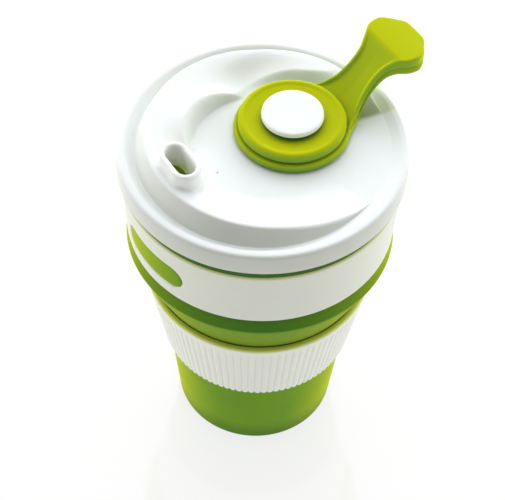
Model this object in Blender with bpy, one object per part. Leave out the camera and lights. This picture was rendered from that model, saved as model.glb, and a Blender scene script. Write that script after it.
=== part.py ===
"""Collapsible travel cup with a swivelling stopper, modelled standing open and full height.

Frame: millimetres in this file times MM, +Z up, origin at the centre of the cup's underside.
The spout is towards -Y.  An azimuth is counted in degrees from -Y (0) towards +X (90).
"""
import math

import bmesh
import bpy

MM = 0.001
GAP = 0.3                     # clearance between neighbouring pieces
ROUND = 60                    # facets round the cup
SMALL_ROUND = 36              # facets round the pivot's pieces

# Heights of the cup's zones, floor to lid.
BASE_TOP = 38.0
LOWER_FOLD_TOP = 57.4
MIDDLE_TOP = 71.9
CREST = 90.0                  # ridge of the upper fold
BAND_BOTTOM = 96.9
BAND_TOP = 120.2
RIM_TOP = 125.6
LID_BOTTOM = 124.0

# Radii of the silicone wall's outside.
FOOT_RADIUS = 28.7
BASE_TOP_RADIUS = 32.3
CREVICE_RADIUS = 37.1
CREST_RADIUS = 45.4
NECK_RADIUS = 42.6            # wall where the band starts
MOUTH_RADIUS = 43.5           # wall where the band ends
RIM_RADIUS = 45.2
WALL = 2.0                    # rigid zones
RIM_WALL = 1.6
FOLD_WALL = 1.3
FLOOR = 3.0

# Grip sleeve.
SLEEVE_BOTTOM = 38.0
SLEEVE_TOP = 72.3
SLEEVE_TOP_RADIUS = 39.6
SLEEVE_BOTTOM_RADIUS = 34.0
RIBS = 96
RIB_DEPTH = 0.45

# Band round the mouth, with its window.
BAND_WALL = 1.9
WINDOW_AZIMUTH = 6.0
WINDOW_HALF_LENGTH = 14.0
WINDOW_HALF_HEIGHT = 4.95
WINDOW_CENTRE = 106.7
PAD_DEPTH = 0.25              # of the silicone in the window, below the band's surface

# Lid.
LID_RADIUS = 47.0
BEAD = 131.8
DISH = 131.3                  # low deck round the pivot
RAISED = 136.7                # highest part of the raised deck
RAISED_BACK = 135.2
LEDGE = 129.2
LEDGE_RADIUS = 41.1
DECK_RADIUS = 37.8            # edge of the raised deck
DECK_WALL = 1.8
RAMP_START = 112.0            # azimuth where the raised deck starts from nothing
RAMP_LENGTH = 103.0
STEP_AZIMUTH = 177.0          # azimuth where the raised deck ends in a step
STEP_WIDTH = 7.0
DISH_RADIUS = 22.0            # low dish round the lid's centre
SEAT_RADIUS = 21.4            # flat seat under the stopper
PLUG_BOTTOM = 117.5
PLUG_OUTER = 41.3
PLUG_INNER = 39.5

# Spout and vent.
SPOUT_RADIUS = 30.3
SPOUT_TOP = 141.4
SLOT_HALF_LENGTH = 6.35
SLOT_HALF_WIDTH = 3.0
SPOUT_WALL = 1.4
SPOUT_FLARE = 2.4
VENT_AZIMUTH = 8.7
VENT_RADIUS = 18.9
VENT_HOLE = 0.75

# Stopper on its pivot.
PIVOT_Y = 11.0
STEM_RADIUS = 4.0
FLANGE_RADIUS = 18.9
DISC_RADIUS = 17.6
FLANGE_BOTTOM = 131.6
FLANGE_TOP = 134.0
DISC_TOP = 137.4
BUTTON_RADIUS = 10.05
BUTTON_BOTTOM = 138.0
BUTTON_TOP = 140.0
FLEX_REACH = 20.9             # distance from the pivot to the strap's flexing line
FLEX_HEIGHT = 133.4
SEAL_PLUG_REACH = 39.6
SEAL_PLUG_BOTTOM = 143.9
PARKED_TURN = 1.4             # degrees the open strap stands off the spout's line, towards -X

# Strap stations: reach from the pivot, half width, underside, top, depth of the channel.
STRAP = [
    (19.7, 8.9, 133.1, 133.8, 0.0),
    (20.3, 8.7, 132.5, 136.8, 0.3),
    (22.0, 7.9, 134.2, 139.1, 0.9),
    (25.9, 6.9, 138.9, 143.3, 1.0),
    (30.6, 7.4, 143.5, 147.9, 1.0),
    (33.8, 9.3, 145.6, 150.3, 0.4),
    (36.5, 11.3, 146.1, 151.3, 0.0),
    (39.5, 12.0, 146.1, 151.6, 0.0),
    (42.5, 11.2, 146.1, 151.6, 0.0),
    (45.2, 8.6, 146.2, 151.6, 0.0),
    (47.4, 5.2, 146.7, 151.1, 0.0),
]

WHITE = (0.88, 0.89, 0.88)
LIME = (0.52, 0.66, 0.03)


def clear_scene():
    for item in list(bpy.data.objects):
        bpy.data.objects.remove(item, do_unlink=True)


def material(name, colour, roughness):
    """Principled material of one colour."""
    made = bpy.data.materials.new(name)
    made.use_nodes = True
    shader = made.node_tree.nodes["Principled BSDF"]
    shader.inputs["Base Color"].default_value = (*colour, 1.0)
    shader.inputs["Roughness"].default_value = roughness
    shader.inputs["Metallic"].default_value = 0.0
    return made


def smooth_step(value):
    """0 below 0, 1 above 1, and a smooth rise between them."""
    value = min(1.0, max(0.0, value))
    return value * value * (3.0 - 2.0 * value)


def between(value, stations):
    """Smooth interpolation through (position, value) stations."""
    if value <= stations[0][0]:
        return stations[0][1]
    for (low, first), (high, second) in zip(stations, stations[1:]):
        if value <= high:
            return first + (second - first) * smooth_step((value - low) / (high - low))
    return stations[-1][1]


def place(radius, azimuth):
    """Point at a radius and an azimuth, in millimetres."""
    angle = math.radians(azimuth)
    return radius * math.sin(angle), -radius * math.cos(angle)


def finish(name, mesh_data, finish_material, location=(0.0, 0.0, 0.0)):
    """Turn bmesh data into a named object, smooth but for its sharp edges."""
    bmesh.ops.remove_doubles(mesh_data, verts=mesh_data.verts, dist=1e-6)
    bmesh.ops.recalc_face_normals(mesh_data, faces=mesh_data.faces)
    mesh = bpy.data.meshes.new(name)
    mesh_data.to_mesh(mesh)
    mesh_data.free()
    mesh.shade_smooth()
    mesh.set_sharp_from_angle(angle=math.radians(35.0))
    made = bpy.data.objects.new(name, mesh)
    made.data.materials.append(finish_material)
    made.location = [value * MM for value in location]
    bpy.context.collection.objects.link(made)
    return made


def turned(name, profile, finish_material, segments=ROUND, location=(0.0, 0.0, 0.0)):
    """Solid of revolution from a closed profile of (radius, height) points."""
    mesh_data = bmesh.new()
    points = [mesh_data.verts.new((radius * MM, 0.0, height * MM)) for radius, height in profile]
    for first, second in zip(points, points[1:] + points[:1]):
        if first.co.x > 0.0 or second.co.x > 0.0:
            mesh_data.edges.new((first, second))
    bmesh.ops.spin(
        mesh_data, geom=list(mesh_data.verts) + list(mesh_data.edges), cent=(0.0, 0.0, 0.0),
        axis=(0.0, 0.0, 1.0), dvec=(0.0, 0.0, 0.0), angle=math.tau, steps=segments,
        use_merge=True, use_duplicate=False)
    return finish(name, mesh_data, finish_material, location)


def skin_rings(mesh_data, rings, closed):
    """Join rings of vertices by quads; closed joins the last ring to the first."""
    pairs = list(zip(rings, rings[1:]))
    if closed:
        pairs.append((rings[-1], rings[0]))
    for lower, upper in pairs:
        count = len(lower)
        for index in range(count):
            after = (index + 1) % count
            mesh_data.faces.new((lower[index], lower[after], upper[after], upper[index]))


def obround(half_length, half_width, steps=8):
    """Outline of a slot with round ends, long along x."""
    straight = half_length - half_width
    outline = []
    for side in (1.0, -1.0):
        for step in range(steps + 1):
            angle = math.pi * step / steps - math.pi / 2.0
            outline.append((side * (straight + half_width * math.cos(angle)),
                            side * half_width * math.sin(angle)))
    return outline


def prism(name, sections, finish_material, location=(0.0, 0.0, 0.0)):
    """Loft of equal outlines, each (outline, height), capped at both ends."""
    mesh_data = bmesh.new()
    rings = [[mesh_data.verts.new((x * MM, y * MM, height * MM)) for x, y in outline]
             for outline, height in sections]
    skin_rings(mesh_data, rings, closed=False)
    mesh_data.faces.new(rings[0])
    mesh_data.faces.new(rings[-1])
    return finish(name, mesh_data, finish_material, location)


def combine(target, tool, operation):
    """Boolean with a guide object that isn't part of the model."""
    tool.hide_render = True
    tool.display_type = "WIRE"
    change = target.modifiers.new(tool.name, "BOOLEAN")
    change.operation = operation
    change.solver = "EXACT"
    change.object = tool


def line_radius(height, low, high):
    """Radius on the straight line through two (radius, height) points."""
    share = (height - low[1]) / (high[1] - low[1])
    return low[0] + (high[0] - low[0]) * share


def wall_radius(height):
    """Outside of the silicone wall from the base's top up to the crevice over the sleeve."""
    return line_radius(height, (BASE_TOP_RADIUS, BASE_TOP), (CREVICE_RADIUS, MIDDLE_TOP))


def make_base(silicone):
    """Bottom cup: floor, rounded foot and the wall up to the lower fold."""
    inner_foot = FOOT_RADIUS - WALL
    return turned("base_cup", [
        (0.0, 0.0), (FOOT_RADIUS - 0.9, 0.0), (FOOT_RADIUS - 0.3, 0.3), (FOOT_RADIUS, 0.9),
        (BASE_TOP_RADIUS, BASE_TOP), (BASE_TOP_RADIUS - WALL, BASE_TOP),
        (inner_foot + 0.4, FLOOR + 3.0), (inner_foot - 0.6, FLOOR + 0.9),
        (inner_foot - 3.0, FLOOR), (0.0, FLOOR)], silicone)


def make_lower_fold(silicone):
    """Thin wall that turns inside out when the base goes up into the sleeve."""
    low, high = BASE_TOP + GAP, LOWER_FOLD_TOP - GAP
    return turned("lower_fold_wall", [
        (wall_radius(low), low), (wall_radius(high), high),
        (wall_radius(high) - FOLD_WALL, high), (wall_radius(low) - FOLD_WALL, low)], silicone)


def make_middle(silicone):
    """Stiff wall inside the sleeve."""
    low = LOWER_FOLD_TOP
    return turned("middle_wall", [
        (wall_radius(low), low), (CREVICE_RADIUS, MIDDLE_TOP),
        (CREVICE_RADIUS - WALL, MIDDLE_TOP), (wall_radius(low) - WALL, low)], silicone)


def make_upper_fold(silicone):
    """Sloping wall between the sleeve and the crest; it turns inside out round the sleeve."""
    low, high = MIDDLE_TOP + GAP, CREST
    return turned("upper_fold_wall", [
        (CREVICE_RADIUS + 0.1, low), (CREST_RADIUS, high),
        (CREST_RADIUS - FOLD_WALL - 0.2, high), (CREVICE_RADIUS - FOLD_WALL, low)], silicone)


def make_rim(silicone):
    """Stiff top zone: crest, neck, wall behind the band, rim, and the pad that fills the band's window."""
    rim = turned("rim_wall", [
        (CREST_RADIUS - RIM_WALL, CREST + GAP), (CREST_RADIUS, CREST + GAP),
        (CREST_RADIUS - 0.3, CREST + 1.4), (NECK_RADIUS + 0.8, BAND_BOTTOM - 0.9),
        (NECK_RADIUS, BAND_BOTTOM - 0.4), (NECK_RADIUS, BAND_BOTTOM),
        (MOUTH_RADIUS, BAND_TOP + GAP), (RIM_RADIUS, BAND_TOP + GAP), (RIM_RADIUS, RIM_TOP - 0.6),
        (RIM_RADIUS - 0.6, RIM_TOP), (MOUTH_RADIUS - RIM_WALL, RIM_TOP),
        (NECK_RADIUS - RIM_WALL, BAND_BOTTOM)], silicone)
    inside = NECK_RADIUS - 0.6
    outside = (NECK_RADIUS + MOUTH_RADIUS) / 2.0 + GAP + BAND_WALL - PAD_DEPTH
    low, high = WINDOW_CENTRE - 8.0, WINDOW_CENTRE + 8.0
    pad = turned("window_pad", [
        (inside, low), (outside, low), (outside, high), (inside, high)], silicone, 2 * ROUND)
    window = window_prism("window_pad_outline", GAP, silicone)
    combine(pad, window, "INTERSECT")
    combine(rim, pad, "UNION")
    return rim


def window_prism(name, inset, finish_material):
    """Guide through the band at its window, smaller than the window by the inset."""
    outline = obround(WINDOW_HALF_LENGTH - inset, WINDOW_HALF_HEIGHT - inset)
    guide = prism(name, [(outline, 30.0), (outline, 60.0)], finish_material, (0.0, 0.0, WINDOW_CENTRE))
    guide.rotation_euler = (math.radians(90.0), 0.0, math.radians(WINDOW_AZIMUTH))
    return guide


def make_sleeve(plastic):
    """Ribbed grip sleeve: a ring whose outside has one rib for each two facets."""
    inner_low = line_radius(SLEEVE_BOTTOM, (BASE_TOP_RADIUS, BASE_TOP), (CREVICE_RADIUS, MIDDLE_TOP)) + GAP
    inner_high = CREVICE_RADIUS + GAP
    profile = [                                  # radius, height, share of the rib's depth
        (inner_low, SLEEVE_BOTTOM, 0.0), (SLEEVE_BOTTOM_RADIUS, SLEEVE_BOTTOM + 0.3, 1.0),
        (SLEEVE_TOP_RADIUS, SLEEVE_TOP - 1.8, 1.0), (SLEEVE_TOP_RADIUS, SLEEVE_TOP - 0.7, 0.0),
        (SLEEVE_TOP_RADIUS - 0.7, SLEEVE_TOP, 0.0), (inner_high, SLEEVE_TOP, 0.0)]
    mesh_data = bmesh.new()
    rings = []
    for radius, height, ribbed in profile:
        ring = []
        for facet in range(2 * RIBS):
            groove = RIB_DEPTH * ribbed * (facet % 2)
            x, y = place(radius - groove, 180.0 * facet / RIBS)
            ring.append(mesh_data.verts.new((x * MM, y * MM, height * MM)))
        rings.append(ring)
    skin_rings(mesh_data, rings, closed=True)
    return finish("grip_sleeve", mesh_data, plastic)


def make_band(plastic):
    """Stiff band round the mouth, with an obround window in front of the silicone."""
    inner_low, inner_high = NECK_RADIUS + GAP, MOUTH_RADIUS + GAP
    band = turned("upper_band", [
        (inner_low, BAND_BOTTOM), (inner_low + BAND_WALL - 0.4, BAND_BOTTOM),
        (inner_low + BAND_WALL, BAND_BOTTOM + 0.5), (inner_high + BAND_WALL, BAND_TOP - 1.0),
        (inner_high + BAND_WALL - 0.9, BAND_TOP), (inner_high, BAND_TOP)], plastic)
    combine(band, window_prism("window_cutter", 0.0, plastic), "DIFFERENCE")
    return band


def deck_edge_height(azimuth):
    """Height of the deck's outer edge: a ramp up from nothing, a long raised part, and a step."""
    azimuth = (azimuth + 180.0) % 360.0 - 180.0
    if azimuth > STEP_AZIMUTH - STEP_WIDTH:
        return DISH + (RAISED_BACK - DISH) * smooth_step((azimuth - STEP_AZIMUTH) / STEP_WIDTH + 1.0)
    if azimuth >= RAMP_START:
        return DISH
    if azimuth > RAMP_START - RAMP_LENGTH:
        rise = math.sin(math.pi / 2.0 * (RAMP_START - azimuth) / RAMP_LENGTH)
        return DISH + (RAISED - DISH) * rise
    return between(azimuth, [(-180.0, RAISED_BACK), (-80.0, RAISED)])


def ledge_height(azimuth):
    """Height of the valley between the deck and the bead; it rises to nothing in the low sector."""
    azimuth = (azimuth + 180.0) % 360.0 - 180.0
    fall = smooth_step((RAMP_START - azimuth) / 56.0)
    back = smooth_step((azimuth - STEP_AZIMUTH) / STEP_WIDTH + 1.0)
    return DISH - (DISH - LEDGE) * max(fall, back)


def edge_radius(azimuth):
    """Radius of the deck's outer edge: the face below it keeps its slope and runs out to nothing."""
    drop = deck_edge_height(azimuth) - ledge_height(azimuth)
    return LEDGE_RADIUS - max(0.2, min(LEDGE_RADIUS - DECK_RADIUS, 0.6 * drop))


def deck_height(x, y):
    """Height of the deck: a low dish and a low seat round the pivot, which climb to the deck's edge.

    Left of the spout the climb is a crisp curved step; elsewhere it is a long gentle slope.
    """
    azimuth = math.degrees(math.atan2(x, -y))
    radius = math.hypot(x, y)
    reach = math.hypot(x, y - PIVOT_Y)
    crisp = between(azimuth, [(-115.0, 0.0), (-99.0, 0.3), (-80.0, 0.75), (-55.0, 1.0), (-35.0, 0.8),
                              (-18.0, 0.0)])
    foot = between(azimuth, [(-101.0, 20.5), (-64.0, 21.5), (-34.0, 22.9)])
    steep = math.sin(math.pi / 2.0 * min(1.0, max(0.0, (radius - foot) / (0.3 + 3.6 * crisp))))
    gentle = smooth_step((radius - DISH_RADIUS) / (DECK_RADIUS - DISH_RADIUS))
    climb = gentle * (1.0 - crisp) + steep * crisp
    off_seat = smooth_step((reach - SEAT_RADIUS) / 5.0)
    return DISH + (deck_edge_height(azimuth) - DISH) * climb * off_seat


def make_lid(plastic):
    """Lid shell: skirt, bead, ledge, raised deck, and the plug wall that fits inside the rim."""
    shares = (0.0, 0.12, 0.25, 0.38, 0.5, 0.62, 0.72, 0.82, 0.9, 0.96, 1.0)
    rim = [(43.2, 131.1), (44.4, BEAD), (45.4, BEAD - 0.1), (46.4, BEAD - 0.9), (46.8, BEAD - 2.0),
           (LID_RADIUS, LID_BOTTOM)]
    under = [(RIM_RADIUS + GAP + 0.1, LID_BOTTOM), (RIM_RADIUS + GAP + 0.1, RIM_TOP + GAP),
             (PLUG_OUTER, RIM_TOP + GAP), (PLUG_OUTER, PLUG_BOTTOM), (PLUG_INNER, PLUG_BOTTOM),
             (PLUG_INNER, RIM_TOP + 1.8)]
    mesh_data = bmesh.new()
    columns = []
    for facet in range(ROUND):
        azimuth = 360.0 * facet / ROUND
        edge, ledge = edge_radius(azimuth), ledge_height(azimuth)
        column = []
        for share in shares:
            x, y = place(share * edge, azimuth)
            column.append((x, y, deck_height(x, y)))
        for radius, height in [(LEDGE_RADIUS, ledge)] + rim + under:
            column.append((*place(radius, azimuth), height))
        for share in reversed(shares):
            x, y = place(share * (DECK_RADIUS - 1.4), azimuth)
            column.append((x, y, deck_height(x, y) - DECK_WALL))
        columns.append([mesh_data.verts.new([value * MM for value in point]) for point in column])
    for facet, column in enumerate(columns):
        after = columns[(facet + 1) % ROUND]
        for index in range(len(column) - 1):
            mesh_data.faces.new((column[index], column[index + 1], after[index + 1], after[index]))
    lid = finish("lid_shell", mesh_data, plastic)
    add_spout(lid, plastic)
    for name, radius, centre in (("pivot_hole_cutter", STEM_RADIUS + GAP, (0.0, PIVOT_Y)),
                                 ("vent_cutter", VENT_HOLE, place(VENT_RADIUS, VENT_AZIMUTH))):
        outline = obround(radius, radius * 0.999)
        cutter = prism(name, [(outline, 120.0), (outline, 145.0)], plastic, (*centre, 0.0))
        combine(lid, cutter, "DIFFERENCE")
    return lid


def add_spout(lid, plastic):
    """Raised collar round the drinking slot, wider at its foot."""
    top = obround(SLOT_HALF_LENGTH + SPOUT_WALL, SLOT_HALF_WIDTH + SPOUT_WALL)
    foot = obround(SLOT_HALF_LENGTH + SPOUT_WALL + SPOUT_FLARE, SLOT_HALF_WIDTH + SPOUT_WALL + SPOUT_FLARE)
    slot = obround(SLOT_HALF_LENGTH, SLOT_HALF_WIDTH)
    centre = (0.0, -SPOUT_RADIUS, 0.0)
    collar = prism("spout_collar", [(foot, 132.6), (top, SPOUT_TOP)], plastic, centre)
    cutter = prism("slot_cutter", [(slot, 125.0), (slot, 150.0)], plastic, centre)
    combine(lid, collar, "UNION")
    combine(lid, cutter, "DIFFERENCE")


def make_pivot(plastic):
    """Rivet through stopper and lid, with its button head, and the washer that keeps it in."""
    button = turned("pivot_button", [
        (0.0, 127.0), (STEM_RADIUS - 0.5, 127.0), (STEM_RADIUS, 127.5), (STEM_RADIUS, BUTTON_BOTTOM),
        (BUTTON_RADIUS - 0.5, BUTTON_BOTTOM), (BUTTON_RADIUS, BUTTON_BOTTOM + 0.5),
        (BUTTON_RADIUS - 0.2, BUTTON_TOP - 0.7), (BUTTON_RADIUS - 1.4, BUTTON_TOP - 0.2),
        (5.0, BUTTON_TOP), (0.0, BUTTON_TOP)], plastic, SMALL_ROUND, (0.0, PIVOT_Y, 0.0))
    washer_top = DISH - DECK_WALL - GAP
    washer = turned("pivot_retainer", [
        (STEM_RADIUS + GAP, washer_top - 1.8), (8.0, washer_top - 1.8), (8.5, washer_top - 1.3),
        (8.5, washer_top), (STEM_RADIUS + GAP, washer_top)], plastic, SMALL_ROUND, (0.0, PIVOT_Y, 0.0))
    return button, washer


def make_hub(silicone):
    """Stopper's hub: flange, groove, upper disc with a dished top and a lip under the button."""
    bore = STEM_RADIUS + GAP
    return turned("stopper_hub", [
        (bore, FLANGE_BOTTOM), (FLANGE_RADIUS - 0.8, FLANGE_BOTTOM), (FLANGE_RADIUS, FLANGE_BOTTOM + 0.8),
        (FLANGE_RADIUS - 0.1, FLANGE_TOP - 0.5), (FLANGE_RADIUS - 0.7, FLANGE_TOP),
        (DISC_RADIUS - 0.3, FLANGE_TOP), (DISC_RADIUS, FLANGE_TOP + 0.6), (DISC_RADIUS - 0.5, DISC_TOP - 1.6),
        (DISC_RADIUS - 2.2, DISC_TOP), (BUTTON_RADIUS + 1.2, DISC_TOP - 0.5),
        (bore + 2.4, DISC_TOP - 0.5), (bore + 2.2, BUTTON_BOTTOM - GAP), (bore, BUTTON_BOTTOM - GAP)],
        silicone, ROUND, (0.0, PIVOT_Y, 0.0))


def parked(reach, height):
    """Point on the open strap's middle line, at a distance from the pivot."""
    turn = math.radians(PARKED_TURN)
    return -reach * math.sin(turn), PIVOT_Y + reach * math.cos(turn), height


def make_strap(silicone):
    """Strap and cap: a channel section lofted outwards, with the oval plug under the cap."""
    mesh_data = bmesh.new()
    rings = []
    for reach, half, bottom, top, channel in STRAP:
        section = [(-half, bottom + 0.5), (-half, top - 0.4), (-half + 1.2, top),
                   (-half + 3.0, top - channel), (half - 3.0, top - channel), (half - 1.2, top),
                   (half, top - 0.4), (half, bottom + 0.5), (half - 1.0, bottom), (1.0 - half, bottom)]
        if top - bottom < 1.0:
            middle = (top + bottom) / 2.0
            section = [(x, middle + (z - middle) * 0.3) for x, z in section]
        rings.append([mesh_data.verts.new((x * MM, (reach - FLEX_REACH) * MM, (z - FLEX_HEIGHT) * MM))
                      for x, z in section])
    skin_rings(mesh_data, rings, closed=False)
    mesh_data.faces.new(rings[0])
    mesh_data.faces.new(rings[-1])
    strap = finish("stopper_strap", mesh_data, silicone, parked(FLEX_REACH, FLEX_HEIGHT))
    strap.rotation_euler.z = math.radians(PARKED_TURN)
    foot = obround(5.0, 1.2)
    body = obround(5.5, 1.5)
    plug = prism("seal_plug", [(foot, SEAL_PLUG_BOTTOM), (body, SEAL_PLUG_BOTTOM + 0.5), (body, 147.5)],
                 silicone, parked(SEAL_PLUG_REACH, 0.0))
    plug.rotation_euler.z = math.radians(PARKED_TURN)
    combine(strap, plug, "UNION")
    return strap


def build():
    clear_scene()
    silicone = material("lime_silicone", LIME, 0.45)
    plastic = material("white_plastic", WHITE, 0.35)
    make_base(silicone)
    make_lower_fold(silicone)
    make_middle(silicone)
    make_upper_fold(silicone)
    make_rim(silicone)
    make_sleeve(plastic)
    make_band(plastic)
    make_lid(plastic)
    make_pivot(plastic)
    make_hub(silicone)
    make_strap(silicone)


build()
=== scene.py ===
"""Looks of the collapsible travel cup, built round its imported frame.

Frame: +Z up, origin at the centre of the cup's underside, spout towards -Y, strap towards +Y.
Lengths in this file are millimetres times MM.  An azimuth is counted in degrees from -Y (0)
towards +X (90).
"""

import math

import bmesh
import bpy
import numpy as np
from mathutils import Matrix, Vector


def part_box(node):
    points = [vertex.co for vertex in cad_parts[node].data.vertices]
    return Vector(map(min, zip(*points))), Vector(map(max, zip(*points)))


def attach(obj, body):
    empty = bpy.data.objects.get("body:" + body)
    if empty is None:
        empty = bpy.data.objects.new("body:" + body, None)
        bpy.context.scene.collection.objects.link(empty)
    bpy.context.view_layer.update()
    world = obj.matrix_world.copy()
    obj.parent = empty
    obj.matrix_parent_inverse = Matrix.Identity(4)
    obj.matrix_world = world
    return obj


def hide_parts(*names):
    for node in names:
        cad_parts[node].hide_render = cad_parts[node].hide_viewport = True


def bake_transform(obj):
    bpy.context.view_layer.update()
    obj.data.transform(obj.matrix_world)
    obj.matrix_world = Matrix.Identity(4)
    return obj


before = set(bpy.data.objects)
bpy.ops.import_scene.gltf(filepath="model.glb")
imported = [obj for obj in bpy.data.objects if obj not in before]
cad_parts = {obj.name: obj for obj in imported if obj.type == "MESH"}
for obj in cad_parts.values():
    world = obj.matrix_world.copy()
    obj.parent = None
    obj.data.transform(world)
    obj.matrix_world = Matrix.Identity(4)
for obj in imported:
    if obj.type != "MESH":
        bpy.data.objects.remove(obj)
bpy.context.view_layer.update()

MM = 0.001
AROUND = 360                  # facets round the large pieces


def box_mm(node):
    """Lowest and highest corner of a CAD node, in millimetres."""
    low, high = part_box(node)
    return [value / MM for value in low], [value / MM for value in high]


# Heights and radii read from the frame.
BASE_HIGH = box_mm("base_cup")[1]
MIDDLE_LOW, MIDDLE_HIGH = box_mm("middle_wall")
RIM_HIGH = box_mm("rim_wall")[1]
BAND_LOW, BAND_HIGH = box_mm("upper_band")
SLEEVE_LOW, SLEEVE_HIGH = box_mm("grip_sleeve")
LID_LOW, LID_HIGH = box_mm("lid_shell")
BUTTON_LOW, BUTTON_HIGH = box_mm("pivot_button")
WASHER_LOW, WASHER_HIGH = box_mm("pivot_retainer")
HUB_LOW, HUB_HIGH = box_mm("stopper_hub")
STRAP_HIGH = box_mm("stopper_strap")[1]

# Silicone wall.
BASE_TOP = BASE_HIGH[2]
BASE_TOP_RADIUS = BASE_HIGH[0]
FOOT_RADIUS = 28.7
LOWER_FOLD_TOP = MIDDLE_LOW[2]
MIDDLE_TOP = MIDDLE_HIGH[2] - 0.7   # a little lower than the CAD solid
CREVICE_RADIUS = MIDDLE_HIGH[0]
CREST_RADIUS = RIM_HIGH[0]
CREST = 90.8
NECK_RADIUS = 42.6
MOUTH_RADIUS = 43.5
RIM_RADIUS = 45.2
RIM_TOP = RIM_HIGH[2]
RIM_BOTTOM = 119.6
WALL = 2.0
RIM_WALL = 1.6
FOLD_WALL = 1.3
FLOOR = 3.0
GAP = 0.3

# Grip sleeve.
SLEEVE_BOTTOM, SLEEVE_TOP = SLEEVE_LOW[2], SLEEVE_HIGH[2] - 0.6
SLEEVE_TOP_RADIUS = SLEEVE_HIGH[0]
SLEEVE_BOTTOM_RADIUS = 34.0
RIBS = 96
RIB_DEPTH = 0.45
RIB_POINTS = 12               # facets round one rib
PLAIN_LIP = 3.4               # height of the sleeve's top that has no ribs
SCALLOP = 0.35                # how far the foot rises at each groove

# Band and window.
BAND_BOTTOM, BAND_TOP = BAND_LOW[2] - 0.5, BAND_HIGH[2]
BAND_WALL = 1.9
WINDOW_AZIMUTH = 6.0
WINDOW_HALF_LENGTH = 14.2     # along the arc
WINDOW_HALF_HEIGHT = 4.95
WINDOW_CENTRE = 106.7
PAD_FACE = 0.24               # the silicone in the window lies this far inside the band's outside
PAD_BACK = 2.1

# Lid.
LID_RADIUS = LID_HIGH[0]
LID_BOTTOM = 124.0
BEAD = 131.8
DISH = 131.3
RAISED = 136.7
RAISED_BACK = 135.0
LEDGE = 129.2
LEDGE_RADIUS = 41.1
DECK_RADIUS = 37.8
DECK_WALL = 1.8
RAMP_START = 112.0            # azimuth where the raised deck starts from nothing
RAMP_LENGTH = 103.0
STEP_AZIMUTH = 178.0          # where the raised deck ends in a step that faces the low sector
STEP_WIDTH = 11.0
DISH_RADIUS = 22.0            # low dish round the lid's centre
SEAT_RADIUS = 21.4
PLUG_BOTTOM = LID_LOW[2]
PLUG_OUTER = 41.3
PLUG_INNER = 39.5
SPOUT_RADIUS = 30.3
SPOUT_TOP = LID_HIGH[2]
SLOT_HALF_LENGTH = 6.35
SLOT_HALF_WIDTH = 3.0
SPOUT_WALL = 1.9
VENT_AZIMUTH = 8.7
VENT_RADIUS = 18.9
VENT_HOLE = 0.3

# Stopper and pivot.
PIVOT_Y = 11.0
STEM_RADIUS = 4.0
FLANGE_RADIUS = HUB_HIGH[0]
DISC_RADIUS = 17.4
FLANGE_BOTTOM = HUB_LOW[2]
FLANGE_TOP = 134.3
DISC_TOP = HUB_HIGH[2]
BUTTON_RADIUS = BUTTON_HIGH[0]
BUTTON_TOP = BUTTON_HIGH[2]
BUTTON_BOTTOM = 138.0
FLEX_HEIGHT = 133.4
FLEX_START, FLEX_END = 18.5, 22.5   # reach over which the strap bends
TIP_REACH = STRAP_HIGH[1] - PIVOT_Y
SEAL_PLUG_REACH = 39.6
SEAL_PLUG_BOTTOM = 143.9
SEAL_PLUG_TOP = 146.6
PARKED_TURN = 1.4             # degrees the open strap stands off the spout's line


# ---- curves and outlines

def smooth_step(value):
    """0 below 0, 1 above 1, and a smooth rise between them."""
    value = min(1.0, max(0.0, value))
    return value * value * (3.0 - 2.0 * value)


def between(value, stations):
    """Smooth interpolation through (position, value) stations."""
    if value <= stations[0][0]:
        return stations[0][1]
    for (low, first), (high, second) in zip(stations, stations[1:]):
        if value <= high:
            return first + (second - first) * smooth_step((value - low) / (high - low))
    return stations[-1][1]


def curve_through(value, stations):
    """Cubic curve through (position, value) stations, with no overshoot at its ends."""
    xs = [station[0] for station in stations]
    ys = [station[1] for station in stations]
    if value <= xs[0]:
        return ys[0]
    if value >= xs[-1]:
        return ys[-1]
    slopes = []
    for index in range(len(xs)):
        before, after = max(0, index - 1), min(len(xs) - 1, index + 1)
        slopes.append((ys[after] - ys[before]) / (xs[after] - xs[before]))
    index = max(i for i in range(len(xs) - 1) if xs[i] <= value)
    width = xs[index + 1] - xs[index]
    t = (value - xs[index]) / width
    return ((2 * t ** 3 - 3 * t ** 2 + 1) * ys[index] + (t ** 3 - 2 * t ** 2 + t) * width * slopes[index]
            + (3 * t ** 2 - 2 * t ** 3) * ys[index + 1] + (t ** 3 - t ** 2) * width * slopes[index + 1])


def place(radius, azimuth):
    """Point at a radius and an azimuth."""
    angle = math.radians(azimuth)
    return radius * math.sin(angle), -radius * math.cos(angle)


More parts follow.
